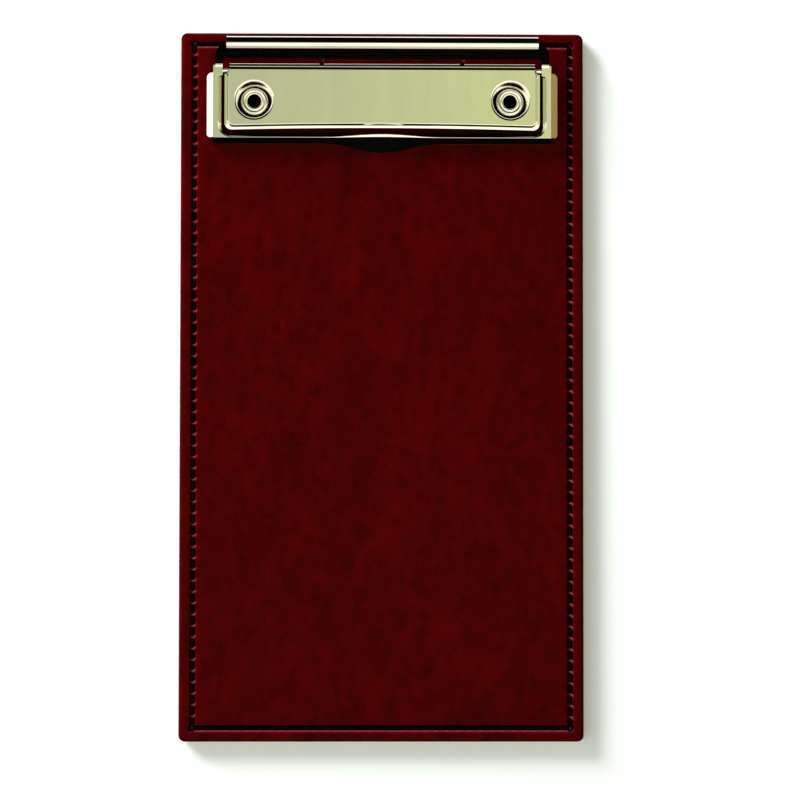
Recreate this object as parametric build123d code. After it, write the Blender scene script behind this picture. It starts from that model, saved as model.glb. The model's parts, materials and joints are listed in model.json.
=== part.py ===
from build123d import *
import math
import os

# Order pad holder: a stitched, leather covered board with a pressed steel clip across one end.
# The board lies flat. +Z is up, +Y points to the clip end and +X to the right.
# The origin is on the underside, in the middle of the board. All sizes are in millimetres.

# Board layers, from the underside up
board_width = 115.0
board_length = 202.0
lining_thickness = 0.7
turn_in_thickness = 0.5
core_thickness = 2.0
cover_thickness = 0.8
corner_radius = 1.8
edge_round = 0.9
back_edge_round = 0.35
core_corner_radius = 0.9
turn_in_width = 12.0
infill_gap = 0.3
lining_inset = 1.1
lining_round = 0.3

# Lockstitch seam round the border
seam_inset = 3.9
seam_inset_clip_end = 3.3
stitch_pitch = 3.2
stitch_length = 2.5
thread_radius = 0.22
groove_radius = 0.6
groove_depth = 0.5
back_groove_depth = 0.46
thread_seat_gap = 0.01

# Clip: places along the board, measured from its clip end
axis_from_end = 11.1
window_rear_from_end = 8.3
slope_foot_from_end = 9.9
bar_from_end = 4.25
ear_tip_from_end = 4.8
flange_from_end = 29.05
lip_reach = 1.7
rivet_from_end = 19.8

# Clip: sheet, heights above the leather and widths
sheet = 0.7
rail_height = 4.0
plate_height = 3.9
axis_height = 1.6
bar_height = 6.9
bar_radius = 2.1
bar_curl_end = -150.0
window_width = 90.9
rail_face = 2.65
ear_inset = 0.6
ear_shoulder = 3.3
ear_corner = 3.0
window_corner = 1.0
flange_depth = 1.9
flange_slant = 1.33
flange_corner = 2.2
bend_radius = 0.75
crest_width = 0.12
crest_bend = 0.1
lip_drop = 2.2
lip_bend = 0.3
slope_bend = 1.2
slope_lead = 2.9
skirt_reach = 1.9
skirt_angle = 50.0
skirt_front_gap = 0.1
skirt_rear_from_end = 12.0
skirt_corner = 1.2

# Tongue in the middle of the front lip, where its slope runs on almost down to the leather
tongue_width = 33.5
tongue_reach = 2.2
tongue_drop = 0.08
tongue_crest_width = 0.75
tongue_crest_fall = 0.12
tongue_slant = 0.45
tongue_lip_bend = 0.05
tongue_steps = 6
inside_foot_height = 0.05

# Base plate, its ledge, hood and dimples
plate_side_gap = 0.55
plate_front_gap = 0.8
plate_rear_inset = 0.9
ledge_width = 0.65
ledge_drop = 0.8
ledge_fall = 0.06
riser_width = 0.5
riser_wall = 0.5
plate_corner = 2.0
plate_taper = 0.9
plate_taper_from_axis = 0.3
plate_front_bow = 0.65
step_round = 0.3
rivet_spacing = 73.0
dimple_top_radius = 5.7
dimple_floor_radius = 3.5
dimple_floor_bend = 1.5
dimple_rim_bend = 0.1
dimple_blend = 1.2

# Hollow rivets, clinched over washers under the core, where the lining hides them
rivet_bore_radius = 1.9
rivet_barrel_radius = 2.3
rivet_rim_radius = 2.75
rivet_clinch_radius = 3.1
rivet_clinch_height = 0.2
washer_radius = 4.0
washer_thickness = 0.3
hole_clearance = 0.05
cut_past = 1.0
edge_tolerance = 0.01

# Pivot rod and torsion springs
rod_radius = 0.8
rod_clearance = 0.05
tab_radius = 1.5
rod_head_radius = 1.3
rod_head_height = 0.6
rod_head_round = 0.36
rod_head_gap = 0.15
wire_radius = 0.3
coil_clearance = 0.1
coil_turns = 5
coil_gap = 0.45
coil_centre = 20.0
front_leg_angle = 20.0
rear_leg_angle = 55.0
leg_seat_gap = 0.08
leg_slot_width = 1.3
leg_slot_top = 62.0

# Places that follow from the driving sizes
lining_top = lining_thickness
core_bottom = lining_top + turn_in_thickness
core_top = core_bottom + core_thickness
leather_top = core_top + cover_thickness
clip_end = board_length / 2
axis_y = clip_end - axis_from_end
axis_z = leather_top + axis_height
rail_top = leather_top + rail_height
plate_top = leather_top + plate_height
plate_under = plate_top - sheet
bar_y = clip_end - bar_from_end
bar_z = leather_top + bar_height
slope_foot_y = clip_end - slope_foot_from_end
flange_y = clip_end - flange_from_end
crest_rear_y = flange_y - flange_slant
crest_front_y = crest_rear_y - crest_width
lip_y = crest_front_y - lip_reach
plate_front_y = flange_y + plate_front_gap
plate_half = window_width / 2 - plate_side_gap
plate_rear_half = plate_half - plate_rear_inset
hood_half = plate_rear_half - riser_width
ledge_top = plate_top - ledge_drop
riser_angle = math.degrees(math.atan2(riser_width, ledge_drop))
rivet_y = clip_end - rivet_from_end
window_rear_y = clip_end - window_rear_from_end
ear_tip_y = clip_end - ear_tip_from_end
coil_radius = rod_radius + coil_clearance + wire_radius
hood_radius = plate_height - axis_height
tab_inner_x = window_width / 2
tab_outer_x = tab_inner_x + sheet
rail_half = window_width / 2 + rail_face
ear_half = rail_half - ear_inset
bar_half = ear_half - ear_shoulder
rivet_places = [(-rivet_spacing / 2, rivet_y), (rivet_spacing / 2, rivet_y)]

parts = {}


def block(x0, x1, y0, y1, z0, z1):
    """Plain box between two corners."""
    centre = ((x0 + x1) / 2, (y0 + y1) / 2, (z0 + z1) / 2)
    return Pos(*centre) * Box(x1 - x0, y1 - y0, z1 - z0)


def slab(width, length, radius, z0, z1, y_centre=0.0):
    """Rectangle with rounded corners, between two heights."""
    return Pos(0, y_centre, z0) * extrude(RectangleRounded(width, length, radius), amount=z1 - z0)


def across(face, x0, x1):
    """Solid of a profile drawn in Y and Z, run from x0 to x1."""
    return Pos(x0, 0, 0) * extrude(Plane.YZ * face, amount=x1 - x0)


def seam_lines():
    """Centre line of the seam: start, direction and length of each side."""
    half_x = board_width / 2 - seam_inset
    front_y = seam_inset - board_length / 2
    rear_y = board_length / 2 - seam_inset_clip_end
    return [
        ((-half_x, front_y), (0, 1), rear_y - front_y),
        ((-half_x, rear_y), (1, 0), 2 * half_x),
        ((half_x, rear_y), (0, -1), rear_y - front_y),
        ((half_x, front_y), (-1, 0), 2 * half_x),
    ]


def seam_groove(z_centre):
    """Round bottomed channel pressed into the leather by the thread."""
    cutter = None
    for start, direction, length in seam_lines():
        mid_x = start[0] + direction[0] * length / 2
        mid_y = start[1] + direction[1] * length / 2
        turn = Rot(0, 90, 0) if direction[0] else Rot(90, 0, 0)
        run = Pos(mid_x, mid_y, z_centre) * turn * Cylinder(groove_radius, length)
        knob = Pos(start[0], start[1], z_centre) * Sphere(groove_radius)
        cutter = run + knob if cutter is None else cutter + run + knob
    return cutter


def stitches(z_centre):
    """One short length of thread for each stitch, laid end to end round the seam."""
    straight = stitch_length - 2 * thread_radius
    bead = Rot(90, 0, 0) * Cylinder(thread_radius, straight)
    bead += Pos(0, straight / 2, 0) * Sphere(thread_radius)
    bead += Pos(0, -straight / 2, 0) * Sphere(thread_radius)
    placed = []
    for start, direction, length in seam_lines():
        count = round(length / stitch_pitch)
        step = length / count
        turn = Rot(0, 0, 90) if direction[0] else Rot(0, 0, 0)
        for number in range(count):
            along = (number + 0.5) * step
            x = start[0] + direction[0] * along
            y = start[1] + direction[1] * along
            placed.append(Pos(x, y, z_centre) * turn * bead)
    return Compound(children=placed)


def rivet_holes(radius, z0, z1):
    """Cutters for the two rivet holes, past both faces of a layer."""
    holes = None
    for x, y in rivet_places:
        hole = Pos(x, y, (z0 + z1) / 2) * Cylinder(radius, z1 - z0 + 2 * cut_past)
        holes = hole if holes is None else holes + hole
    return holes


# Greyboard core, covered on all sides
core_width = board_width - 2 * cover_thickness
core_length = board_length - 2 * cover_thickness
barrel_hole = rivet_barrel_radius + hole_clearance
core = slab(core_width, core_length, core_corner_radius, core_bottom, core_top)
parts["core_board"] = core - rivet_holes(barrel_hole, core_bottom, core_top)

# Card that fills the back between the turned-in leather
infill_width = board_width - 2 * turn_in_width - 2 * infill_gap
infill_length = board_length - 2 * turn_in_width - 2 * infill_gap
infill = slab(infill_width, infill_length, core_corner_radius, lining_top, core_bottom)
parts["infill_card"] = infill - rivet_holes(washer_radius + hole_clearance, lining_top, core_bottom)

# Front cover: face, wrapped edges and turn-ins in one piece of leather
cover = slab(board_width, board_length, corner_radius, lining_top, leather_top)
cover = fillet(cover.faces().sort_by(Axis.Z)[-1].edges(), edge_round)
cover = fillet(cover.faces().sort_by(Axis.Z)[0].edges(), back_edge_round)
cover -= slab(core_width, core_length, core_corner_radius, core_bottom, core_top)
cover -= slab(
    board_width - 2 * turn_in_width, board_length - 2 * turn_in_width, core_corner_radius, 0, core_bottom
)
cover -= seam_groove(leather_top - groove_depth + groove_radius)
parts["front_leather"] = cover - rivet_holes(barrel_hole, core_top, leather_top)

# Back lining: a plain panel a little smaller than the board
lining = slab(
    board_width - 2 * lining_inset, board_length - 2 * lining_inset, corner_radius, 0, lining_top
)
lining = fillet(lining.faces().sort_by(Axis.Z)[0].edges(), lining_round)
parts["back_leather"] = lining - seam_groove(back_groove_depth - groove_radius)

# Lockstitch: the needle thread shows in front, the bobbin thread at the back
top_thread_z = leather_top - groove_depth + thread_radius + thread_seat_gap
bobbin_thread_z = back_groove_depth - thread_radius - thread_seat_gap
parts["needle_thread"] = stitches(top_thread_z)
parts["bobbin_thread"] = stitches(bobbin_thread_z)


def plate_outline(inset, rear_y):
    """Plan of the base plate: bowed front edge, rounded front corners, narrower rear end."""
    half_width = plate_half - inset
    rear_half = plate_rear_half
    front_y = plate_front_y + inset
    taper_end = axis_y - plate_taper_from_axis
    taper_start = taper_end - plate_taper
    sides = Polyline(
        (half_width, front_y), (half_width, taper_start), (rear_half, taper_end), (rear_half, rear_y),
        (-rear_half, rear_y), (-rear_half, taper_end), (-half_width, taper_start), (-half_width, front_y),
    )
    front = ThreePointArc((-half_width, front_y), (0, front_y + plate_front_bow), (half_width, front_y))
    outline = make_face([sides, front])
    return fillet(outline.vertices().sort_by(Axis.Y)[:2], plate_corner)


def raised_field(inset, z):
    """Block with the sloping riser of the field round it, its foot drawn in by an inset at height z."""
    foot = plate_outline(inset, axis_y + 2 * riser_width)
    return extrude(Pos(0, 0, z) * foot, amount=ledge_drop, taper=riser_angle)


def dimple():
    """Pressed cup of the base plate, its floor on the leather, about the Z axis."""
    under_side = FilletPolyline(
        (barrel_hole, leather_top),
        (dimple_floor_radius, leather_top),
        (dimple_top_radius, plate_under),
        (dimple_top_radius + dimple_blend, plate_under),
        radius=[dimple_floor_bend, dimple_rim_bend],
    )
    profile = make_face(offset(under_side, amount=sheet, side=Side.LEFT))
    return revolve(Plane.XZ * profile, axis=Axis.Z)


# Base plate: ledge on three sides, raised field, hood over the rod, ears for the rod and two dimples
field = raised_field(ledge_width, ledge_top)
field_edges = field.edges().filter_by_position(Axis.Z, plate_top - edge_tolerance, plate_top + edge_tolerance)
field = fillet(field_edges.filter_by(lambda edge: edge.center().Y < axis_y), step_round)
ledge_edge_top = ledge_top - ledge_fall
ledge_outline = plate_outline(0, axis_y + 2 * riser_width)
ledge = extrude(Pos(0, 0, ledge_top - sheet) * ledge_outline, amount=sheet - ledge_fall)
field_outline = plate_outline(ledge_width, axis_y + 2 * riser_width)
ledge += loft([Pos(0, 0, ledge_edge_top) * ledge_outline, Pos(0, 0, ledge_top) * field_outline], ruled=True)
ledge_rear_y = axis_y - plate_taper_from_axis - plate_taper
ledge -= block(plate_half - ledge_width, board_width, ledge_rear_y, clip_end, 0, plate_top)
ledge -= block(-board_width, ledge_width - plate_half, ledge_rear_y, clip_end, 0, plate_top)
plate = field + ledge - raised_field(ledge_width + riser_wall, ledge_top - sheet)
plate -= block(-board_width, board_width, axis_y, clip_end, 0, plate_top + cut_past)

hood_corner = Pos(hood_radius / 2, hood_radius / 2) * Rectangle(hood_radius, hood_radius)
hood_section = (Circle(hood_radius) - Circle(hood_radius - sheet)) & hood_corner
plate += across(Pos(axis_y, axis_z) * hood_section, -hood_half, hood_half)

ear_profile = Pos(axis_y, axis_z) * Circle(tab_radius)
ear_neck = Rectangle(tab_radius, ledge_top - axis_z)
ear_profile += Pos(axis_y - tab_radius / 2, (axis_z + ledge_top) / 2) * ear_neck
ear_profile += Pos(axis_y, axis_z) * (Circle(hood_radius) & hood_corner)
ear = across(ear_profile, hood_half - sheet, hood_half)
plate += ear
plate += mirror(ear, about=Plane.YZ)

for x, y in rivet_places:
    plate -= Pos(x, y, plate_top) * Cylinder(dimple_top_radius + dimple_blend / 2, 2 * (sheet + cut_past))
    plate += Pos(x, y, 0) * dimple()

rod_hole = rod_radius + rod_clearance
rod_bore = Pos(0, axis_y, axis_z) * Rot(0, 90, 0) * Cylinder(rod_hole, board_width)
plate -= rod_bore


# Torsion springs: coils on the rod, one leg under the plate, one under the slope of the jaw
def coil_point(angle, x):
    """Point of the coil's centre line, with the angle counted from +Y towards +Z."""
    turn = math.radians(angle)
    return Vector(x, axis_y + coil_radius * math.cos(turn), axis_z + coil_radius * math.sin(turn))


def coil_direction(angle, rise):
    """Direction of the coil's centre line, with its rise along X per degree."""
    turn = math.radians(angle)
    step = coil_radius * math.radians(1)
    return Vector(rise, -step * math.sin(turn), step * math.cos(turn)).normalized()


def biarc(start, start_way, end, end_way):
    """Two arcs that join two points along given directions."""
    chord = end - start
    ways = start_way + end_way
    spread = 2 * (1 - start_way.dot(end_way))
    reach = (-chord.dot(ways) + math.sqrt(chord.dot(ways) ** 2 + spread * chord.dot(chord))) / spread
    joint = (start + end) * 0.5 + (start_way - end_way) * (reach / 2)
    first = TangentArc(start, joint, tangent=start_way)
    return [first, TangentArc(joint, end, tangent=first % 1)]


def least_coil_gap(x0, first, last, rise):
    """Least free space between one turn of the wire and the next, measured on points."""
    full_turn = 360
    samples = 24
    search = 60
    search_step = 2
    least = None
    for number in range(samples):
        angle = first + (last - full_turn - first) * number / samples
        here = coil_point(angle, x0 + rise * (angle - first))
        for degrees_on in range(full_turn - search, full_turn + search + 1, search_step):
            other = angle + degrees_on
            if other > last:
                continue
            there = coil_point(other, x0 + rise * (other - first))
            gap = (there - here).length - 2 * wire_radius
            least = gap if least is None else min(least, gap)
    return least


# The slope of the jaw runs from its foot to touch the rolled bar
bar_from_foot = Vector(0, bar_y - slope_foot_y, bar_z - rail_top)
slope_angle = math.atan2(bar_from_foot.Z, bar_from_foot.Y) + math.asin(bar_radius / bar_from_foot.length)
slope_way = Vector(0, math.cos(slope_angle), math.sin(slope_angle))
slope_normal = Vector(0, -slope_way.Z, slope_way.Y)


def torsion_spring(centre_x):
    """Wire from the tip of its front leg, round the rod, to the tip of its rear leg."""
    first = -90.0 - front_leg_angle
    last = rear_leg_angle - 90.0 + 360.0 * coil_turns
    rise = (2 * wire_radius + coil_gap) / 360.0
    x0 = centre_x - rise * (last - first) / 2
    start = coil_point(first, x0)
    end = coil_point(last, x0 + rise * (last - first))
    start_way = coil_direction(first, rise)
    end_way = coil_direction(last, rise)

    front_room = plate_under - wire_radius - leg_seat_gap - start.Z
    front_leg = front_room / -start_way.Z
    foot = Vector(0, slope_foot_y, rail_top)
    slope_room = (foot - end).dot(slope_normal) - sheet - wire_radius - leg_seat_gap
    rear_leg = slope_room / end_way.dot(slope_normal)

    path = [Line(start - start_way * front_leg, start)]
    steps = math.ceil((last - first) / 90.0)
    step = (last - first) / steps
    for number in range(steps):
        a0 = first + number * step
        a1 = a0 + step
        path += biarc(
            coil_point(a0, x0 + rise * (a0 - first)), coil_direction(a0, rise),
            coil_point(a1, x0 + rise * (a1 - first)), coil_direction(a1, rise),
        )
    path.append(Line(end, end + end_way * rear_leg))
    wire = Wire(path)
    section = Plane(origin=wire @ 0, z_dir=wire % 0) * Circle(wire_radius)
    spring = sweep(section, path=wire)
    print("spring volume", round(spring.volume, 3), "wire section times length",
          round(math.pi * wire_radius ** 2 * wire.length, 3))
    print("least gap between turns", round(least_coil_gap(x0, first, last, rise), 3))
    return spring, end.X


for name, centre_x in (("torsion_spring_left", -coil_centre), ("torsion_spring_right", coil_centre)):
    spring, leg_x = torsion_spring(centre_x)
    parts[name] = spring
    slot_height = hood_radius * math.sin(math.radians(leg_slot_top))
    plate -= block(
        leg_x - leg_slot_width / 2, leg_x + leg_slot_width / 2,
        axis_y + coil_radius, axis_y + 2 * hood_radius, axis_z - hood_radius, axis_z + slot_height,
    )

parts["clip_base_plate"] = plate

# Rod, peened over into a head outside each tab of the jaw
rod_half = tab_outer_x + rod_head_gap
rod = Rot(0, 90, 0) * Cylinder(rod_radius, 2 * rod_half)
for side in (-1, 1):
    head = Rot(0, 90, 0) * Cylinder(rod_head_radius, rod_head_height)
    head = fillet(head.edges().sort_by(Axis.X)[-1 if side > 0 else 0], rod_head_round)
    rod += Pos(side * (rod_half + rod_head_height / 2), 0, 0) * head
parts["pivot_rod"] = Pos(0, axis_y, axis_z) * rod

# Hollow rivets through the dimples, clinched over a washer between the core and the lining
rivets = []
washers = []
floor_top = leather_top + sheet
shank_length = floor_top - lining_top
shank_middle = lining_top + shank_length / 2
washer_bottom = lining_top + rivet_clinch_height
for x, y in rivet_places:
    shank = Pos(0, 0, shank_middle) * Cylinder(rivet_barrel_radius, shank_length)
    rim_radius = (rivet_rim_radius - rivet_bore_radius) / 2
    rim = Pos(0, 0, floor_top) * Torus((rivet_rim_radius + rivet_bore_radius) / 2, rim_radius)
    rim -= Pos(0, 0, floor_top - rim_radius) * Cylinder(rivet_rim_radius + cut_past, 2 * rim_radius)
    clinch = Cylinder(rivet_clinch_radius, rivet_clinch_height)
    clinch = Pos(0, 0, lining_top + rivet_clinch_height / 2) * clinch
    rivet = shank + rim + clinch - Pos(0, 0, floor_top / 2) * Cylinder(rivet_bore_radius, 2 * floor_top)
    rivets.append(Pos(x, y, 0) * rivet)
    ring = Cylinder(washer_radius, washer_thickness) - Cylinder(barrel_hole, washer_thickness + 2 * cut_past)
    ring = Pos(0, 0, washer_bottom + washer_thickness / 2) * ring
    washers.append(Pos(x, y, 0) * ring)
parts["hollow_rivets"] = Compound(children=rivets)
parts["rivet_washers"] = Compound(children=washers)


# Jaw: one pressed frame with the front lip, side rails, rear slope, rolled bar and pivot tabs
flange_foot = rail_top - flange_depth


def sheet_face(line):
    """Profile of a bent sheet: its outer line and one sheet thickness to the right of it."""
    return make_face(offset(line, amount=sheet, side=Side.RIGHT))


def between(first, last, share):
    """Value that goes from first to last as share goes from 0 to 1."""
    return first + (last - first) * share


def front_rail(share):
    """Section of the front rail in Y and Z; share runs from 0 at the plain lip to 1 in mid tongue.

    The lip stands up from the leather, slopes to the crest, and the flange slants down behind it.
    """
    crest_rear = Vector(flange_y - between(flange_slant, tongue_slant, share), rail_top)
    crest_front = crest_rear - Vector(
        between(crest_width, tongue_crest_width, share), tongue_crest_fall * share
    )
    foot = Vector(lip_y - tongue_reach * share, leather_top)
    bend = foot + Vector(0, between(lip_drop, tongue_drop, share))
    flange_end = Vector(flange_y, flange_foot)
    outside = FilletPolyline(
        foot, bend, crest_front, crest_rear, flange_end,
        radius=[between(lip_bend, tongue_lip_bend, share), crest_bend, crest_bend],
    )
    lip_angle = math.atan2(crest_front.Y - bend.Y, crest_front.X - bend.X)
    under_lip = bend.Y - sheet / math.cos(lip_angle)
    least_reach = (leather_top + inside_foot_height - under_lip) / math.tan(lip_angle)
    inside_foot = foot + Vector(max(sheet, least_reach), 0)
    inside_bend = Vector(inside_foot.X, under_lip + (inside_foot.X - foot.X) * math.tan(lip_angle))
    flange_way = (flange_end - crest_rear).normalized()
    flange_under = flange_end + Vector(flange_way.Y, -flange_way.X) * sheet
    run = flange_under.X - foot.X
    meet = (flange_under.Y - under_lip + run * flange_way.Y / -flange_way.X) / (
        math.tan(lip_angle) - flange_way.Y / flange_way.X
    )
    crease = Vector(foot.X + meet, under_lip + meet * math.tan(lip_angle))
    inside = Polyline(flange_end, flange_under, crease, inside_bend, inside_foot, foot)
    return make_face([outside, inside])


def tongue():
    """Middle of the front rail, lofted through sections whose reach rises and falls smoothly."""
    stations = []
    for number in range(2 * tongue_steps + 1):
        x = tongue_width / 2 * (number / tongue_steps - 1)
        share = (1 + math.cos(math.pi * 2 * x / tongue_width)) / 2
        stations.append(Pos(x, 0, 0) * (Plane.YZ * front_rail(share)))
    return loft(stations)


corner_x = tab_inner_x - flange_corner
corner_y = flange_y + flange_corner

side_rail_line = FilletPolyline(
    (tab_inner_x, flange_foot), (tab_inner_x + flange_slant, rail_top), (rail_half, rail_top), radius=crest_bend
)
side_rail = extrude(Plane.XZ * sheet_face(side_rail_line), amount=corner_y - slope_foot_y)
side_rail = Pos(0, corner_y, 0) * side_rail
side_rail -= block(
    0, tab_outer_x + flange_slant, slope_foot_y - slope_lead, clip_end, 0, rail_top - sheet
)

skirt_drop = skirt_reach * math.tan(math.radians(skirt_angle))
skirt_front_y = crest_front_y + skirt_front_gap
skirt_rear_y = clip_end - skirt_rear_from_end
skirt_line = FilletPolyline(
    (rail_half - bend_radius, rail_top), (rail_half, rail_top),
    (rail_half + skirt_reach, rail_top - skirt_drop),
    radius=bend_radius,
)
skirt_length = skirt_rear_y - skirt_front_y
skirt_middle_y = skirt_front_y + skirt_length / 2
skirt = Pos(0, skirt_front_y, 0) * extrude(Plane.XZ * sheet_face(skirt_line), amount=-skirt_length)
skirt &= slab(2 * (rail_half + skirt_reach), skirt_length, skirt_corner, 0, 2 * rail_top, skirt_middle_y)

corner_line = FilletPolyline(
    (flange_corner, flange_foot), (flange_corner + flange_slant, rail_top), (3 * flange_corner, rail_top),
    radius=crest_bend,
)
corner = revolve(Plane.XZ * sheet_face(corner_line), axis=Axis.Z, revolution_arc=-90)
crest_y = (crest_front_y + crest_rear_y) / 2
corner = Pos(corner_x, corner_y, 0) * corner & block(
    corner_x, rail_half, crest_y, corner_y, 0, 2 * rail_top
)
front_side = across(front_rail(0), tongue_width / 2, corner_x)
front_end = across(front_rail(0), corner_x, rail_half)
front_end -= block(corner_x, rail_half, crest_y, corner_y, 0, 2 * rail_top)

tab_profile = Pos(axis_y, axis_z) * Circle(tab_radius)
tab_top = rail_top - sheet / 2
tab_profile += Pos(axis_y, (axis_z + tab_top) / 2) * Rectangle(2 * tab_radius, tab_top - axis_z)
tab = across(tab_profile, tab_inner_x, tab_outer_x)

jaw = tongue()
for piece in (front_side, front_end, corner, side_rail, skirt, tab):
    jaw += piece
    jaw += mirror(piece, about=Plane.YZ)

slope_start = Vector(slope_foot_y - slope_lead, rail_top)
slope_foot = Vector(slope_foot_y, rail_top)
bar_centre = Vector(bar_y, bar_z)
slope_out = Vector(-math.sin(slope_angle), math.cos(slope_angle))
bar_touch = bar_centre + slope_out * bar_radius
curl_start = 90.0 + math.degrees(slope_angle)
curl_sweep = bar_curl_end - curl_start
top_line = FilletPolyline(slope_start, slope_foot, bar_touch, radius=slope_bend)
top_curl = CenterArc(bar_centre, bar_radius, curl_start, curl_sweep)
under_start = slope_start - Vector(0, sheet)
under_foot = slope_foot + Vector(sheet * math.tan(slope_angle / 2), -sheet)
under_line = FilletPolyline(under_start, under_foot, bar_touch - slope_out * sheet, radius=slope_bend + sheet)
under_curl = CenterArc(bar_centre, bar_radius - sheet, curl_start, curl_sweep)
front_edge = Line(slope_start, under_start)
curl_edge = Line(top_curl @ 1, under_curl @ 1)
slope_and_bar = make_face([top_line, top_curl, curl_edge, under_curl, under_line, front_edge])
middle = across(slope_and_bar, -bar_half, bar_half)

ear_tip = (ear_tip_y, rail_top + (ear_tip_y - slope_foot_y) * math.tan(slope_angle))
ear_line = FilletPolyline(slope_start, slope_foot, ear_tip, radius=slope_bend)
shoulders = across(sheet_face(ear_line), -ear_half, ear_half)
shoulders -= block(-bar_half, bar_half, 0, clip_end, 0, 2 * bar_z)
slope_length = 2 * (ear_tip_y - slope_foot_y)
shoulders &= slab(2 * ear_half, slope_length, ear_corner, 0, 2 * bar_z, ear_tip_y - slope_length / 2)
window_front_y = corner_y + window_corner
window_length = window_rear_y - window_front_y
window = slab(window_width, window_length, window_corner, 0, 2 * bar_z, window_front_y + window_length / 2)
jaw += (middle + shoulders) - window

jaw -= rod_bore
jaw -= block(-board_width, board_width, 0, clip_end, 0, leather_top)
parts["clip_jaw"] = jaw

if __name__ == "__main__":
    os.makedirs("parts", exist_ok=True)
    for name, shape in parts.items():
        shape.label = name
        export_step(shape, f"parts/{name}.step")
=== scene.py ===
# Order pad holder: a stitched leather board with a sprung steel clip across its top end.
import json
import math

import bpy
import numpy as np
from mathutils import Matrix, Vector


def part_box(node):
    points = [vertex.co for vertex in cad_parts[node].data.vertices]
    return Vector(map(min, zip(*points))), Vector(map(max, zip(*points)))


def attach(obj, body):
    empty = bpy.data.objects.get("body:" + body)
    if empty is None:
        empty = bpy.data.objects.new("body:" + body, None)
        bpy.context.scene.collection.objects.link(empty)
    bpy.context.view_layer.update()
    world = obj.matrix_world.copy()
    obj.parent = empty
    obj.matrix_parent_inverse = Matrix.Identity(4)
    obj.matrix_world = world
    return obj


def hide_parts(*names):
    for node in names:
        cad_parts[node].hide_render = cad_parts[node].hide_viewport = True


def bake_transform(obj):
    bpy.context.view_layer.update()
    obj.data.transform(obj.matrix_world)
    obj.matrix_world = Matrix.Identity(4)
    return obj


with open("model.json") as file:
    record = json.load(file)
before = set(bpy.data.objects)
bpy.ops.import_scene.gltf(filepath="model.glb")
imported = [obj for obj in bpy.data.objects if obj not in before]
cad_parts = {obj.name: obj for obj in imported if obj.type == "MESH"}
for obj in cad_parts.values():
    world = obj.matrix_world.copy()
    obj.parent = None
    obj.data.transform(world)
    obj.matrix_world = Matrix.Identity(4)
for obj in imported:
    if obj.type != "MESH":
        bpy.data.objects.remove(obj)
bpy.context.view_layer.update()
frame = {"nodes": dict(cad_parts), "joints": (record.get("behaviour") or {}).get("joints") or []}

# Greyboard core and the card that levels the back. Both are cut from sheets of pressed paper pulp
# and glued inside the leather, so they keep their plain edges and get only their finish here.
mm = 0.001
black = (0, 0, 0)


class Material:
    """A node material that is built up one node at a time."""

    def __init__(self, name, roughness=0.5, metallic=0.0, specular=0.5):
        self.material = bpy.data.materials.new(name)
        self.material.use_nodes = True
        self.nodes = self.material.node_tree.nodes
        self.links = self.material.node_tree.links
        self.shader = self.nodes["Principled BSDF"]
        self.set("Roughness", roughness)
        self.set("Metallic", metallic)
        self.set("Specular IOR Level", specular)
        self.place = self.add("ShaderNodeTexCoord").outputs["Object"]
        self.last_bump = None

    def add(self, kind, **values):
        """A new node of a kind, with its settings."""
        node = self.nodes.new(kind)
        for name, value in values.items():
            setattr(node, name, value)
        return node

    def set(self, socket, value):
        """A constant on the shader's own socket, or a link to it."""
        if isinstance(value, bpy.types.NodeSocket):
            self.links.new(value, self.shader.inputs[socket])
        elif isinstance(value, tuple):
            self.shader.inputs[socket].default_value = (*value, 1)
        else:
            self.shader.inputs[socket].default_value = value

    def greater(self, first, second):
        """The greater of two values."""
        node = self.add("ShaderNodeMath", operation="MAXIMUM")
        self.links.new(first, node.inputs[0])
        self.links.new(second, node.inputs[1])
        return node.outputs[0]

    def stretched(self, x, y, z):
        """The place in the piece, in millimetres, with each axis scaled."""
        node = self.add("ShaderNodeMapping")
        node.inputs["Scale"].default_value = (x / mm, y / mm, z / mm)
        self.links.new(self.place, node.inputs["Vector"])
        return node.outputs["Vector"]

    def noise(self, place, size, detail=2.0, roughness=0.5):
        """Soft clouds about size millimetres across, from 0 to 1."""
        node = self.add("ShaderNodeTexNoise")
        self.links.new(place, node.inputs["Vector"])
        node.inputs["Scale"].default_value = 1 / size
        node.inputs["Detail"].default_value = detail
        node.inputs["Roughness"].default_value = roughness
        return node.outputs["Fac"]

    def cells(self, place, size):
        """Distance from the middle of the nearest of many cells about size millimetres across."""
        node = self.add("ShaderNodeTexVoronoi")
        self.links.new(place, node.inputs["Vector"])
        node.inputs["Scale"].default_value = 1 / size
        return node.outputs["Distance"]

    def painted(self, name):
        """A value that the mesh carries at each point."""
        return self.add("ShaderNodeAttribute", attribute_name=name).outputs["Fac"]

    def spread(self, value, low, high, to_low=0.0, to_high=1.0):
        """A value's range from low to high, mapped to another range."""
        node = self.add("ShaderNodeMapRange")
        self.links.new(value, node.inputs["Value"])
        node.inputs["From Min"].default_value = low
        node.inputs["From Max"].default_value = high
        node.inputs["To Min"].default_value = to_low
        node.inputs["To Max"].default_value = to_high
        return node.outputs["Result"]

    def blend(self, value, first, second):
        """A colour between two colours."""
        node = self.add("ShaderNodeMix", data_type="RGBA")
        self.links.new(value, node.inputs["Factor"])
        for socket, colour in ((node.inputs[6], first), (node.inputs[7], second)):
            if isinstance(colour, bpy.types.NodeSocket):
                self.links.new(colour, socket)
            else:
                socket.default_value = (*colour, 1)
        return node.outputs[2]

    def bump(self, height, depth):
        """Relief of a few hundredths of a millimetre, on top of what is there already."""
        node = self.add("ShaderNodeBump")
        node.inputs["Distance"].default_value = depth * mm
        self.links.new(height, node.inputs["Height"])
        if self.last_bump:
            self.links.new(self.last_bump, node.inputs["Normal"])
        self.last_bump = node.outputs["Normal"]
        self.set("Normal", self.last_bump)


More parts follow.
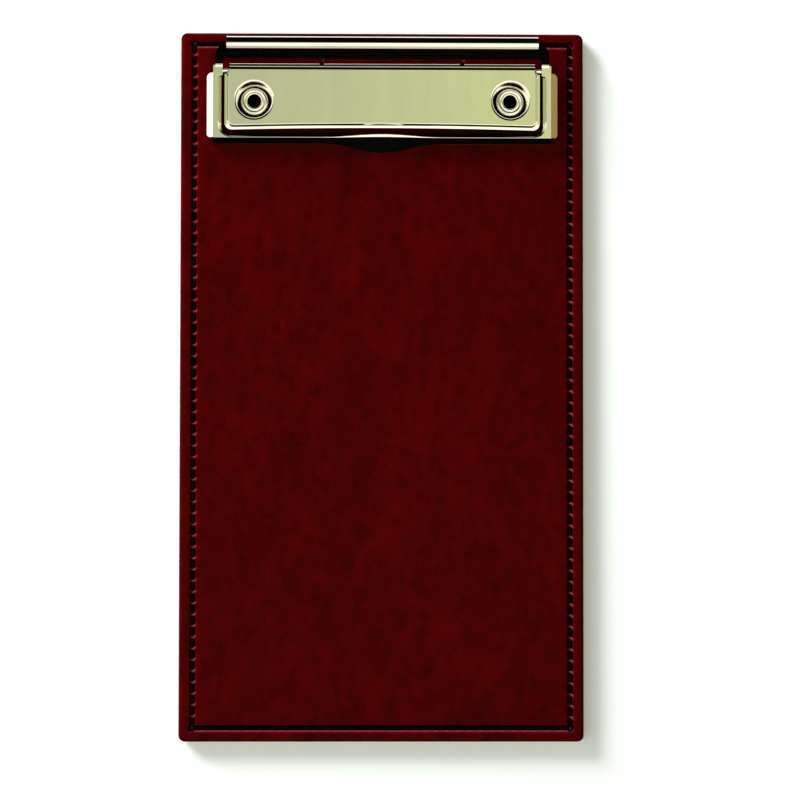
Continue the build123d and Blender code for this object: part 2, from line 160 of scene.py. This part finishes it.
def paper_pulp(name, dark, light):
    """Pressed board or card: flecked, matt and slightly rough."""
    pulp = Material(name, roughness=0.9, specular=0.2)
    flecks = pulp.noise(pulp.stretched(1, 1, 1), size=0.6, detail=6)
    pulp.set("Base Color", pulp.blend(pulp.spread(flecks, 0.35, 0.65), dark, light))
    pulp.bump(flecks, depth=0.05)
    return pulp.material


def finish_node(name, material):
    """Gives a CAD node that is shown as it is its material."""
    frame["nodes"][name].data.materials[0] = material


finish_node("core_board", paper_pulp("greyboard", (0.26, 0.25, 0.23), (0.36, 0.35, 0.32)))
finish_node("infill_card", paper_pulp("card", (0.45, 0.43, 0.38), (0.55, 0.53, 0.47)))

# Front leather: one thin hide of smooth burgundy leather, glued over the core, drawn round its
# edges and turned in at the back. The seam pulls a groove into it, puckered at each needle hole.
leather_low, leather_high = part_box("front_leather")
half_width = leather_high.x / mm
half_length = leather_high.y / mm
face_height = leather_high.z / mm
under_height = leather_low.z / mm
cover_thickness = 0.8
turn_in_thickness = 0.5
turn_in_width = 2.4
turn_in_edge = 0.2
corner_radius = 1.8
least_corner = 0.35
edge_width = 1.3
edge_height = 1.0
edge_steps = 7
back_edge_round = 0.35
back_edge_steps = 3

# The seam, its stitches, and the points of the mesh along them
seam_inset = 3.9
seam_inset_clip_end = 3.3
stitch_pitch = 3.2
seam_half_width = half_width - seam_inset
seam_front = seam_inset - half_length
seam_rear = half_length - seam_inset_clip_end
side_stitches = math.ceil((seam_rear - seam_front) / stitch_pitch)
end_stitches = math.ceil(2 * seam_half_width / stitch_pitch)
samples_per_stitch = 14
loop_points = 2 * (side_stitches + end_stitches) * samples_per_stitch


def outline(inset, clip_inset, radius):
    """Points round a rounded rectangle inside the board's edge, equally many for every inset."""
    half_x = half_width - inset
    front_y = inset - half_length
    rear_y = half_length - clip_inset
    corners = [(-half_x, front_y), (-half_x, rear_y), (half_x, rear_y), (half_x, front_y)]
    sides = []
    for number in range(4):
        start = np.array(corners[number])
        end = np.array(corners[(number + 1) % 4])
        count = (side_stitches, end_stitches)[number % 2] * samples_per_stitch
        share = np.arange(count)[:, None] / count
        sides.append(start + (end - start) * share)
    x, y = np.concatenate(sides).T
    from_side = half_x - np.abs(x)
    end_sign = np.where(y > (front_y + rear_y) / 2, 1, -1)
    end_y = np.where(end_sign > 0, rear_y, front_y)
    from_end = np.abs(end_y - y)
    turn = np.pi / 4 * (1 + (from_side - from_end) / radius)
    rounded = np.maximum(from_side, from_end) < radius
    x = np.where(rounded, np.sign(x) * (half_x - radius + radius * np.cos(turn)), x)
    y = np.where(rounded, end_y + end_sign * radius * (np.sin(turn) - 1), y)
    return x, y


# The thread's channel and its shoulders, the puckers, and the pink highlights painted beside them
channel_depth = 0.5
channel_half_width = 0.7
channel_sharpness = 3
shoulder_depth = 0.1
shoulder_half_width = 1.5
corner_overlap = 1.0
side_pucker_share = 0.72
end_pucker_share = 0.25
pucker_half_length = 0.3
pucker_slant = 0.45
highlight_offset = 0.35
highlight_reach = 0.5
highlight_line = 0.85
highlight_line_width = 0.17
highlight_line_even_share = 0.7


def seam_relief(x, y):
    """Depth below the face, its share of open channel, which is painted black as shade, and the pink
    highlight that is painted on the channel's walls facing the lamp.
    """
    seam_end = np.where(y > 0, seam_rear, seam_front)
    inside_length = (y < seam_rear + corner_overlap) & (y > seam_front - corner_overlap)
    inside_width = np.abs(x) < seam_half_width + corner_overlap
    by_side = np.where(inside_length, np.abs(np.abs(x) - seam_half_width), half_length)
    by_end = np.where(inside_width, np.abs(y - seam_end), half_length)
    off_seam = np.minimum(by_side, by_end)
    on_side = by_side < by_end
    side_step = (seam_rear - seam_front) / side_stitches
    end_step = 2 * seam_half_width / end_stitches
    step = np.where(on_side, side_step, end_step)
    sewn = np.where(on_side, -np.sign(x) * (y - seam_front), np.sign(y) * (x + seam_half_width))
    from_hole = (sewn / step + 0.5) % 1 * step - step / 2
    channel = np.exp(-(off_seam / channel_half_width) ** channel_sharpness)
    pucker = np.exp(-((from_hole - pucker_slant * off_seam) / pucker_half_length) ** 2)
    opened = channel * (1 - np.where(on_side, side_pucker_share, end_pucker_share) * pucker)
    shoulder = np.exp(-(off_seam / shoulder_half_width) ** 2)
    to_right = x - np.sign(x) * seam_half_width
    # Painted highlight: pink spots on each side seam's right wall, and a pink line on the end seams' front
    # walls, the walls that face the lamp.
    spot = pucker * np.exp(-((to_right - highlight_offset) / highlight_reach) ** 2)
    to_front = seam_end - y
    line = np.exp(-((to_front - highlight_line) / highlight_line_width) ** 2)
    line = line * (highlight_line_even_share + (1 - highlight_line_even_share) * pucker)
    painted_highlight = np.where(on_side, spot, line)
    return channel_depth * opened + shoulder_depth * shoulder, opened, painted_highlight


# Slight hollows that the leather dries into over the core
hollow_depth = 0.03
hollow_width = 9.1
hollow_length = 12.7
hollow_shift = 2.0
sway_along = 1.3
sway_along_length = 17.0
sway_across = 1.1
sway_across_width = 8.3


def hollow(x, y):
    """Depth of the hollows at a place on the face."""
    columns = np.sin(x / hollow_width + sway_along * np.sin(y / sway_along_length))
    rows = np.sin(y / hollow_length + sway_across * np.sin(x / sway_across_width) + hollow_shift)
    return hollow_depth * (0.5 + (columns + rows) / 4)


def smooth_mesh(name, points, faces, material, body):
    """A smooth shaded piece of points in millimetres, which rides on a body unless that is None."""
    mesh = bpy.data.meshes.new(name)
    mesh.from_pydata((np.asarray(points, float) * mm).tolist(), [], faces)
    mesh.materials.append(material)
    mesh.polygons.foreach_set("use_smooth", [True] * len(mesh.polygons))
    mesh.update()
    piece = bpy.data.objects.new(name, mesh)
    bpy.context.scene.collection.objects.link(piece)
    if body:
        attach(piece, body)
    return piece


def loop_faces(first, second, count):
    """Quads between two closed loops of count points."""
    return [
        (first + number, first + (number + 1) % count, second + (number + 1) % count, second + number)
        for number in range(count)
    ]


class LeatherSheet:
    """The mesh of a leather sheet as it grows. outward is 1 where it faces up and -1 where down."""

    def __init__(self, face_z, outward):
        self.face_z = face_z
        self.outward = outward
        self.rows = []
        self.faces = []
        self.count = 0

    def below(self, depth):
        """The height of a point that lies so deep in the leather."""
        return self.face_z - self.outward * depth

    def add(self, x, y, z, black_shade_and_ink=0.0, painted_highlight=0.0):
        """Points, with their black painted shade or ink, and their pink painted highlight. Gives the number
        of the first.
        """
        rows = np.stack(np.broadcast_arrays(x, y, z, black_shade_and_ink, painted_highlight), axis=1)
        self.rows.append(rows)
        self.count += len(rows)
        return self.count - len(rows)


loop_gaps = (1.6, 1.1, 0.8, 0.62, 0.5, 0.38, 0.27, 0.13)
field_gap = 0.6


def edge_and_seam(sheet, edge, ink_and_shade):
    """Loops of points round the board: over its edge, and then across the seam.

    Each station of the edge is an inset and a height. The third argument is 1 where the cut edge is inked
    black, which on the lining also blacks the flesh side as painted shade under the rivet bores.
    """
    across_seam = [-gap for gap in loop_gaps] + [0] + list(reversed(loop_gaps))
    stations = [(inset, height, False) for inset, height in edge]
    stations += [(seam_inset + offset, sheet.face_z, True) for offset in across_seam]
    for inset, height, on_face in stations:
        from_edge = min(max(inset - edge_width, 0) / (seam_inset - edge_width), 1)
        clip_inset = inset - from_edge * (seam_inset - seam_inset_clip_end)
        x, y = outline(inset, clip_inset, max(corner_radius - inset, least_corner))
        if on_face:
            depth, opened, painted_highlight = seam_relief(x, y)
            # The open channel is painted black as shade, and its walls facing the lamp carry a pink painted
            # highlight.
            loop = sheet.add(x, y, sheet.below(depth + hollow(x, y)), opened, painted_highlight)
        else:
            loop = sheet.add(x, y, height, ink_and_shade)
        if loop:
            sheet.faces += loop_faces(loop - loop_points, loop, loop_points)


def stitch_loop(sheet):
    """The loop inside the seam, which steps down to one point a stitch."""
    inset = seam_inset + loop_gaps[0] + field_gap
    x, y = outline(inset, inset - seam_inset + seam_inset_clip_end, least_corner)
    x = x[::samples_per_stitch]
    y = y[::samples_per_stitch]
    seam_loop = sheet.count - loop_points
    loop = sheet.add(x, y, sheet.below(hollow(x, y)))
    for number in range(len(x)):
        start = number * samples_per_stitch
        fine = [seam_loop + (start + step) % loop_points for step in range(samples_per_stitch + 1)]
        sheet.faces.append((*fine, loop + (number + 1) % len(x), loop + number))
    return loop, x, y


# The rivets' places, and the round holes for them in the middle of three by three cells
rivet_low, rivet_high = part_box("hollow_rivets")
rivet_barrel_radius = 2.3
rivet_clinch_radius = 3.1
rivet_x = rivet_high.x / mm - rivet_clinch_radius
rivet_y = (rivet_low.y + rivet_high.y) / 2 / mm
hole_clearance = 0.4
hole_radius = rivet_barrel_radius + hole_clearance
hole_cells = 3
hole_reach = hole_cells // 2
hole_points = 4 * hole_cells
hole_start = np.radians(225)
leftmost_point = 1


def field(sheet, holes):
    """The field inside the seam, as a grid of one cell a stitch, open round each hole.

    Gives the numbers of the grid's points, and the middle cell of each hole.
    """
    loop, x, y = stitch_loop(sheet)
    grid = {}
    for row in range(side_stitches):
        grid[0, row] = loop + row
        grid[end_stitches, side_stitches - row] = loop + side_stitches + end_stitches + row
    for column in range(end_stitches):
        grid[column, side_stitches] = loop + side_stitches + column
        grid[end_stitches - column, 0] = loop + 2 * side_stitches + end_stitches + column
    cell_x = (x.max() - x.min()) / end_stitches
    cell_y = (y.max() - y.min()) / side_stitches
    across = x.min() + np.arange(1, end_stitches) * cell_x
    for row in range(1, side_stitches):
        along = y.min() + row * cell_y
        first = sheet.add(across, along, sheet.below(hollow(across, along)))
        for column in range(1, end_stitches):
            grid[column, row] = first + column - 1
    middles = [
        (round((hole_x - x.min()) / cell_x - 0.5), round((hole_y - y.min()) / cell_y - 0.5))
        for hole_x, hole_y in holes
    ]
    for row in range(side_stitches):
        for column in range(end_stitches):
            off_holes = [max(abs(column - middle[0]), abs(row - middle[1])) for middle in middles]
            if all(off_hole > hole_reach for off_hole in off_holes):
                sheet.faces.append((
                    grid[column, row], grid[column, row + 1],
                    grid[column + 1, row + 1], grid[column + 1, row],
                ))
    return grid, middles


def rivet_hole(sheet, grid, middle, hole, thickness):
    """A round hole through the leather, its wall painted black as shade. Gives its loop on the flesh side."""
    around = [(0, step) for step in range(hole_cells)]
    around += [(step, hole_cells) for step in range(hole_cells)]
    around += [(hole_cells, hole_cells - step) for step in range(hole_cells)]
    around += [(hole_cells - step, 0) for step in range(hole_cells)]
    first_column = middle[0] - hole_reach
    first_row = middle[1] - hole_reach
    cell_points = [grid[first_column + across, first_row + along] for across, along in around]
    turns = hole_start - np.arange(hole_points) * 2 * np.pi / hole_points
    x = hole[0] + hole_radius * np.cos(turns)
    y = hole[1] + hole_radius * np.sin(turns)
    # The hole's wall is painted black, as shade.
    rim = sheet.add(x, y, sheet.face_z, 1.0)
    flesh = sheet.add(x, y, sheet.below(thickness), 1.0)
    for number in range(hole_points):
        after = (number + 1) % hole_points
        sheet.faces.append((cell_points[number], cell_points[after], rim + after, rim + number))
    sheet.faces += loop_faces(rim, flesh, hole_points)
    return flesh


def flesh_side(sheet, hole_loops):
    """The flat flesh side: one face, or two that meet on a line through the rivet holes."""
    if not hole_loops:
        sheet.faces.append(tuple(reversed(range(loop_points))))
        return
    side_points = side_stitches * samples_per_stitch
    right_side = side_points + end_stitches * samples_per_stitch
    off_line = np.abs(sheet.rows[0][:, 1] - rivet_y)
    left = int(np.argmin(off_line[:side_points]))
    right = right_side + int(np.argmin(off_line[right_side:right_side + side_points]))
    rear = list(range(left, right + 1))
    front = list(range(right, loop_points)) + list(range(left + 1))
    half_round = hole_points // 2
    for loop in reversed(hole_loops):
        rear += [loop + leftmost_point + half_round - step for step in range(half_round + 1)]
    for loop in hole_loops:
        front += [loop + (leftmost_point - step) % hole_points for step in range(half_round + 1)]
    sheet.faces += [tuple(reversed(rear)), tuple(reversed(front))]


def stitched_leather(name, edge, face_z, outward, ink_and_shade, holes, thickness, material):
    """A whole leather sheet, whose first edge station lies on its flesh side."""
    sheet = LeatherSheet(face_z, outward)
    edge_and_seam(sheet, edge, ink_and_shade)
    grid, middles = field(sheet, holes)
    loops = [rivet_hole(sheet, grid, middle, hole, thickness) for middle, hole in zip(middles, holes)]
    flesh_side(sheet, loops)
    faces = [face[::-outward] for face in sheet.faces]
    rows = np.concatenate(sheet.rows)
    piece = smooth_mesh(name, rows[:, :3], faces, material, "board")
    for attribute, values in (("black_shade_and_ink", rows[:, 3]), ("painted_highlight", rows[:, 4])):
        painted = piece.data.attributes.new(attribute, "FLOAT", "POINT")
        painted.data.foreach_set("value", values.astype(np.float32))
    return piece


sheen_tint = (1.0, 0.32, 0.4)
# Pink of the highlights painted beside the seam.
highlight_pink = (0.24, 0.035, 0.06)
grain_draw = 0.7


def leather(name, tone, deep, roughness):
    """Smooth finished leather: smears and flecks of dye, black painted shade in the seam channel, the rivet
    holes and under the bores, ink on the lining's edge, pink painted highlights beside the seam, fine grain.
    """
    hide = Material(name, roughness=roughness, specular=0.04)
    hide.set("Specular Tint", sheen_tint)
    place = hide.stretched(1, 1, 1)
    drawn = hide.stretched(1, grain_draw, 1)
    smears = hide.noise(drawn, size=9, detail=7, roughness=0.68)
    hide_colour = hide.blend(hide.spread(smears, 0.34, 0.66), deep, tone)
    flecks = hide.noise(drawn, size=3.4, detail=5, roughness=0.65)
    hide_colour = hide.blend(hide.spread(flecks, 0.46, 0.74, 0, 0.42), hide_colour, black)
    # Painted shade: black in the seam's open channel, in the rivet holes and on the lining's flesh side under
    # the bores, and ink on the lining's edge.
    hide_colour = hide.blend(hide.spread(hide.painted("black_shade_and_ink"), 0.1, 0.6), hide_colour, black)
    # Painted highlight: pink on the channel walls that face the lamp.
    hide.set("Base Color", hide.blend(hide.painted("painted_highlight"), hide_colour, highlight_pink))
    wear = hide.noise(place, size=3.5, detail=3)
    hide.set("Roughness", hide.spread(wear, 0.3, 0.7, roughness * 0.85, roughness * 1.15))
    hide.bump(hide.noise(place, size=2.2, detail=3), depth=0.03)
    hide.bump(hide.cells(place, size=0.32), depth=0.012)
    return hide.material


def quarter_round(start, end, steps, flat_first):
    """Edge stations round a quarter turn, which starts along the sheet or square to it."""
    stations = []
    for step in range(steps + 1):
        turn = math.pi / 2 * step / steps
        along, rise = math.sin(turn), 1 - math.cos(turn)
        if not flat_first:
            along, rise = rise, along
        stations.append((start[0] + (end[0] - start[0]) * along, start[1] + (end[1] - start[1]) * rise))
    return stations


front_edge = [
    (cover_thickness, face_height - cover_thickness),
    (cover_thickness, under_height + turn_in_thickness),
    (turn_in_width, under_height + turn_in_thickness),
    (turn_in_width, under_height),
    (turn_in_width - turn_in_edge, under_height),
]
front_edge += quarter_round(
    (back_edge_round, under_height), (0, under_height + back_edge_round), back_edge_steps, True
)
front_edge += quarter_round(
    (0, face_height - edge_height), (edge_width, face_height), edge_steps, False
)
burgundy = leather("burgundy_leather", (0.06, 0.0003, 0.0004), (0.035, 0.0002, 0.0003), 0.5)
cover = stitched_leather(
    "leather_cover", front_edge, face_height, 1, 0,
    [(-rivet_x, rivet_y), (rivet_x, rivet_y)], cover_thickness, burgundy,
)
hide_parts("front_leather")

# Back leather: a plain panel of the same leather, a little smaller than the board, glued over the
# turned-in edges and caught by the same seam.
lining_low, lining_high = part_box("back_leather")
lining_inset = half_width - lining_high.x / mm
lining_thickness = lining_high.z / mm
lining_round = 0.3
back_edge = [(lining_inset, lining_thickness)]
back_edge += quarter_round(
    (lining_inset, lining_round), (lining_inset + lining_round, 0), back_edge_steps, False
)
lining_burgundy = leather("burgundy_lining", (0.05, 0.0004, 0.0005), (0.03, 0.0003, 0.0003), 0.6)
# Its edge is inked black, and its flesh side is black as painted shade where the cover's rivet bores look
# down on it.
lining = stitched_leather("leather_back", back_edge, 0, -1, 1, [], lining_thickness, lining_burgundy)
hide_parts("back_leather")

# Lockstitch: two bonded polyester threads, nearly black. Each stitch lies sunk in the channel and
# dives at both ends into the needle holes, where the two threads lock.
strand_radius = 0.3
strand_sink = 0.36
strand_dip = 0.75
strand_reach = 3.0
strand_rings = 13
strand_sides = 12
strand_plies = 3
strand_lay = 1.1
ply_depth = 0.12
dive_share = 0.35
dive_narrowing = 0.45


def stitch_points():
    """Surface of one twisted stitch along Y, its middle at the origin."""
    points = []
    for ring in range(strand_rings):
        share = 2 * ring / (strand_rings - 1) - 1
        dive = max(abs(share) - 1 + dive_share, 0) / dive_share
        radius = strand_radius * (1 - dive_narrowing * dive ** 2)
        for side in range(strand_sides):
            turn = 2 * math.pi * side / strand_sides
            ply = 1 - ply_depth * (1 - math.cos(strand_plies * turn + strand_lay * share * math.pi)) / 2
            points.append((
                radius * ply * math.cos(turn),
                share * strand_reach / 2,
                radius * ply * math.sin(turn) - strand_dip * dive ** 2,
            ))
    return np.array(points)


def stitch_faces():
    """Quads round one stitch and a cap at both its ends."""
    last_ring = (strand_rings - 1) * strand_sides
    faces = [tuple(reversed(range(strand_sides))), tuple(range(last_ring, last_ring + strand_sides))]
    for ring in range(strand_rings - 1):
        faces += loop_faces((ring + 1) * strand_sides, ring * strand_sides, strand_sides)
    return faces


def sew(name, level, upward, material):
    """One thread of the seam: a stitch between each needle hole and the next."""
    stitch = stitch_points()
    one_stitch = [face[::upward] for face in stitch_faces()]
    corners = [
        (-seam_half_width, seam_front), (-seam_half_width, seam_rear),
        (seam_half_width, seam_rear), (seam_half_width, seam_front),
    ]
    points = []
    faces = []
    for side in range(4):
        start = Vector(corners[side])
        run = Vector(corners[(side + 1) % 4]) - start
        along = run.normalized()
        count = (side_stitches, end_stitches)[side % 2]
        for number in range(count):
            middle = start + run * (number + 0.5) / count
            first = len(points) * len(stitch)
            points.append(np.column_stack([
                middle.x + stitch[:, 1] * along.x + stitch[:, 0] * along.y,
                middle.y + stitch[:, 1] * along.y - stitch[:, 0] * along.x,
                level + upward * stitch[:, 2],
            ]))
            faces += [tuple(first + corner for corner in face) for face in one_stitch]
    return smooth_mesh(name, np.concatenate(points), faces, material, "board")


def twisted_thread():
    """Dark bonded thread: slightly waxy, with fine fibres along the lay."""
    thread = Material("dark_thread", roughness=0.75, specular=0.03)
    fibres = thread.noise(thread.stretched(1, 1, 1), size=0.12)
    thread.set("Base Color", thread.blend(fibres, (0.002, 0.0002, 0.0003), (0.007, 0.0006, 0.0007)))
    thread.bump(fibres, depth=0.02)
    return thread.material


dark_thread = twisted_thread()
needle = sew("seam_front", face_height - strand_sink, 1, dark_thread)
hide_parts("needle_thread")
bobbin = sew("seam_back", strand_sink, -1, dark_thread)
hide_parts("bobbin_thread")

# Clip steel: the base plate and the jaw are pressed from bright nickel plated strip and deburred,
# so every sheared edge has a small round that catches the light. The rivets, their washers and
# the rod are plated alike.
deburred = 0.14
deburr_angle = 60
dull_share = 0.94
# The metal is painted this dark, as shade, where it faces down, and is rougher there.
downward_painted_shade = (0.09, 0.085, 0.07)
facing_down_roughness = 0.45
facing_down_ends = (-0.1, -0.35)


def polished(name, tone, roughness):
    """Bright metal: polishing lines and slight waves, painted dark as shade and rougher where it faces down.
    """
    metal = Material(name, roughness=roughness, metallic=1.0)
    clouds = metal.noise(metal.stretched(0.5, 0.12, 0.5), size=3, detail=4)
    dull = tuple(dull_share * part for part in tone)
    shine = metal.blend(metal.spread(clouds, 0.3, 0.7), dull, tone)
    facing = metal.add("ShaderNodeSeparateXYZ")
    metal.links.new(metal.add("ShaderNodeTexCoord").outputs["Normal"], facing.inputs[0])
    up_share = facing.outputs["Z"]
    # Painted shade: the surfaces that face down are darkened.
    metal.set("Base Color", metal.blend(metal.spread(up_share, *facing_down_ends), shine, downward_painted_shade))
    lines = metal.noise(metal.stretched(2.5, 0.15, 2.5), size=1, detail=3)
    lines = metal.spread(lines, 0.3, 0.7, roughness * 0.8, roughness * 1.3)
    rough = metal.spread(up_share, *facing_down_ends, 0, facing_down_roughness)
    metal.set("Roughness", metal.greater(lines, rough))
    metal.bump(metal.noise(metal.stretched(0.3, 0.3, 0.3), size=1.6, detail=1), depth=0.004)
    return metal.material


def deburr(name):
    """Small rounds on the sheared edges of a pressed CAD piece."""
    bevel = frame["nodes"][name].modifiers.new("deburr", "BEVEL")
    bevel.width = deburred * mm
    bevel.segments = 2
    bevel.limit_method = "ANGLE"
    bevel.angle_limit = math.radians(deburr_angle)
    bevel.harden_normals = False


bright_nickel = polished("bright_nickel", (0.88, 0.86, 0.76), 0.05)
for name in ("clip_base_plate", "clip_jaw", "hollow_rivets", "rivet_washers", "pivot_rod"):
    finish_node(name, bright_nickel)
for name in ("clip_base_plate", "clip_jaw"):
    deburr(name)

# Torsion springs: blued and oiled wire, wound on the rod under the hood. The front leg bears on
# the underside of the plate, and the rear leg under the slope of the jaw, which winds it up.
hinge = Vector(frame["joints"][0]["pos_m"]) / mm
spring_place = 20.0
wire_radius = 0.3
coil_radius = 1.2
coil_turns = 5
coil_gap = 0.45
front_leg_angle = 20.0
rear_leg_angle = 55.0
front_leg = 6.93
rear_leg = 6.06
leg_steps = 8
wire_sides = 12
steps_per_turn = 32


def spring_line(centre_x):
    """Middle of the wire from the tip of its front leg to that of its rear leg, and its last way."""
    first = -90.0 - front_leg_angle
    last = rear_leg_angle - 90.0 + 360.0 * coil_turns
    rise = (2 * wire_radius + coil_gap) / 360.0
    count = round((last - first) / 360.0 * steps_per_turn)
    angles = first + (last - first) * np.arange(count + 1) / count
    turns = np.radians(angles)
    coil = np.column_stack([
        centre_x + rise * (angles - (first + last) / 2),
        hinge.y + coil_radius * np.cos(turns),
        hinge.z + coil_radius * np.sin(turns),
    ])

    def way(turn):
        """The wire's direction at a turn of the coil."""
        arc = coil_radius * math.radians(1)
        step = np.array([rise, -arc * math.sin(turn), arc * math.cos(turn)])
        return step / np.linalg.norm(step)

    shares = np.linspace(0, 1, leg_steps + 1)[:, None]
    front = coil[0] - way(turns[0]) * front_leg * shares[:0:-1]
    rear = coil[-1] + way(turns[-1]) * rear_leg * shares[1:]
    return np.concatenate([front, coil, rear]), way(turns[-1])


def wind(name, centre_x, material):
    """One spring: a tube of round wire along its line, cut square at both tips."""
    line, leg_way = spring_line(centre_x)
    forward = np.gradient(line, axis=0)
    forward /= np.linalg.norm(forward, axis=1)[:, None]
    side = np.cross(forward, (1.0, 0, 0))
    side /= np.linalg.norm(side, axis=1)[:, None]
    over = np.cross(side, forward)
    points = []
    for number in range(wire_sides):
        turn = 2 * math.pi * number / wire_sides
        points.append(line + wire_radius * (math.cos(turn) * side + math.sin(turn) * over))
    points = np.stack(points, axis=1).reshape(-1, 3)
    faces = []
    for ring in range(len(line) - 1):
        faces += loop_faces((ring + 1) * wire_sides, ring * wire_sides, wire_sides)
    faces.append(tuple(range(wire_sides)))
    faces.append(tuple(reversed(range(len(points) - wire_sides, len(points)))))
    spring = smooth_mesh(name, points, faces, material, None)
    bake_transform(spring)
    return spring


blued_wire = polished("blued_wire", (0.09, 0.09, 0.095), 0.3)
for side, centre_x in (("left", -spring_place), ("right", spring_place)):
    spring = wind(f"spring_{side}", centre_x, blued_wire)
    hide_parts(f"torsion_spring_{side}")

# Table: a plain white top. It shows up white to the camera and in the metal, and keeps the
# board's shadow.
floor_half = 2.0
floor_lift = 0.03


def level_sheet(name, low_x, low_y, high_x, high_y, height, material):
    """A flat rectangle of the studio."""
    mesh = bpy.data.meshes.new(name)
    corners = [(low_x, low_y), (high_x, low_y), (high_x, high_y), (low_x, high_y)]
    mesh.from_pydata([(*corner, height) for corner in corners], [], [(0, 1, 2, 3)])
    mesh.materials.append(material)
    sheet = bpy.data.objects.new(name, mesh)
    bpy.context.scene.collection.objects.link(sheet)
    return sheet


white = Material("white_table", roughness=0.9, specular=0.0)
white.set("Base Color", (0.85, 0.9, 0.92))
rays = white.add("ShaderNodeLightPath").outputs
seen = white.greater(white.greater(rays["Is Camera Ray"], rays["Is Glossy Ray"]), rays["Is Transmission Ray"])
white.set("Emission Color", (1.0, 1.0, 1.0))
white.set("Emission Strength", white.spread(seen, 0, 1, 0, floor_lift))
level_sheet("table", -floor_half, -floor_half, floor_half, floor_half, 0, white.material)

# Two matt cards lie on the table, a black one behind the board and a brown one along its right
# side. Only the metal reflects them: the camera doesn't see them and they throw no shadow.
card_lift = 0.0004
card_side = 1.2
card_far = 1.9
black_card_from = 0.122
brown_card_from = 0.0585


def reflector(name, tone, low_x, low_y, high_x, high_y):
    """A card that mirrors see and the camera doesn't."""
    finish = Material(name + "_matt", roughness=1.0, specular=0.0)
    finish.set("Base Color", tone)
    card = level_sheet(name, low_x, low_y, high_x, high_y, card_lift, finish.material)
    card.visible_camera = False
    card.visible_diffuse = False
    card.visible_shadow = False


reflector("black_card", black, -card_side, black_card_from, card_side, card_far)
reflector("brown_card", (0.3, 0.2, 0.08), brown_card_from, -card_side, card_far, black_card_from)

# The room round the table: bands of light and dark that run the length of the clip. Each band is
# an angle from straight up, positive towards the clip's end of the board, and its light.
dark = (0.0015, 0.0015, 0.0015)
cream = (0.62, 0.6, 0.47)
pale = (1.25, 1.25, 1.25)
olive = (0.528, 0.58, 0.37)
bands = (
    (-180, dark), (-75, dark), (-72, cream), (-42, cream), (-38, pale), (3, pale), (5.5, olive),
    (12.5, olive), (15.5, dark),
)
warm_light = (1.28, 1.26, 1.04)
warm_between = (-0.04, 0.065)
window_light = (1.0, 1.0, 1.0)
window_between = (-0.55, -0.75)
brown_wall = (0.22, 0.15, 0.07)
brown_wall_between = (0.55, 0.75)

world = bpy.data.worlds.new("studio")
bpy.context.scene.world = world
world.use_nodes = True
nodes = world.node_tree.nodes
links = world.node_tree.links
way = nodes.new("ShaderNodeSeparateXYZ")
links.new(nodes.new("ShaderNodeTexCoord").outputs["Generated"], way.inputs[0])


def world_share(value, low, high):
    """0 to 1 as a value goes from low to high."""
    node = nodes.new("ShaderNodeMapRange")
    links.new(value, node.inputs["Value"])
    node.inputs["From Min"].default_value = low
    node.inputs["From Max"].default_value = high
    return node.outputs["Result"]


def world_blend(between, first, second, kind="MIX"):
    """One light that turns to a second, or is multiplied by it, along the board's X."""
    node = nodes.new("ShaderNodeMix")
    node.data_type = "RGBA"
    node.blend_type = kind
    links.new(world_share(way.outputs["X"], *between), node.inputs["Factor"])
    links.new(first, node.inputs[6])
    node.inputs[7].default_value = (*second, 1)
    return node.outputs[2]


angle = nodes.new("ShaderNodeMath")
angle.operation = "ARCTAN2"
links.new(way.outputs["Y"], angle.inputs[0])
links.new(way.outputs["Z"], angle.inputs[1])
ramp = nodes.new("ShaderNodeValToRGB")
links.new(world_share(angle.outputs[0], -math.pi, math.pi), ramp.inputs["Fac"])
elements = ramp.color_ramp.elements
while len(elements) < len(bands):
    elements.new(0.5)
for element, (degrees, light) in zip(elements, bands):
    element.position = (degrees + 180) / 360
    element.color = (*light, 1)
room = world_blend(warm_between, ramp.outputs["Color"], warm_light, "MULTIPLY")
room = world_blend(window_between, room, window_light)
room = world_blend(brown_wall_between, room, brown_wall)
links.new(room, nodes["Background"].inputs["Color"])

# Key light: one broad soft lamp at the upper left, low over the table. The metal doesn't mirror it,
# because its panels show only the room.
key_data = bpy.data.lights.new("key", "AREA")
key_data.shape = "RECTANGLE"
key_data.size = 0.7
key_data.size_y = 0.5
key_data.energy = 37
key = bpy.data.objects.new("key", key_data)
bpy.context.scene.collection.objects.link(key)
key.location = (-0.82, 0.8, 0.38)
key.rotation_euler = (-key.location).to_track_quat("-Z", "Y").to_euler()
key.visible_glossy = False

# Camera: nearly straight above the board and turned a little, as the photograph was taken. Its
# place is given by the point that it looks at, two angles, a roll and a distance.
view_distance = 0.850
view_target = Vector((0.005265, -0.003848, 0))
view_azimuth = math.radians(-23.72)
view_elevation = math.radians(87.369)
view_roll = math.radians(23.81)
lens_length = 133.70
sensor_width = 36
nearest = 0.01
back = Vector((
    math.sin(view_azimuth) * math.cos(view_elevation),
    -math.cos(view_azimuth) * math.cos(view_elevation),
    math.sin(view_elevation),
))
level_up = Vector((
    -math.sin(view_azimuth) * math.sin(view_elevation),
    math.cos(view_azimuth) * math.sin(view_elevation),
    math.cos(view_elevation),
))
level_right = level_up.cross(back)
right = level_right * math.cos(view_roll) + level_up * math.sin(view_roll)
up = level_up * math.cos(view_roll) - level_right * math.sin(view_roll)
place = view_target + back * view_distance
camera_data = bpy.data.cameras.new("camera")
camera_data.lens = lens_length
camera_data.sensor_width = sensor_width
camera_data.clip_start = nearest
camera = bpy.data.objects.new("camera", camera_data)
bpy.context.scene.collection.objects.link(camera)
camera.matrix_world = Matrix((
    (right.x, up.x, back.x, place.x),
    (right.y, up.y, back.y, place.y),
    (right.z, up.z, back.z, place.z),
    (0, 0, 0, 1),
))
bpy.context.scene.camera = camera
bpy.context.scene.view_settings.view_transform = "Standard"
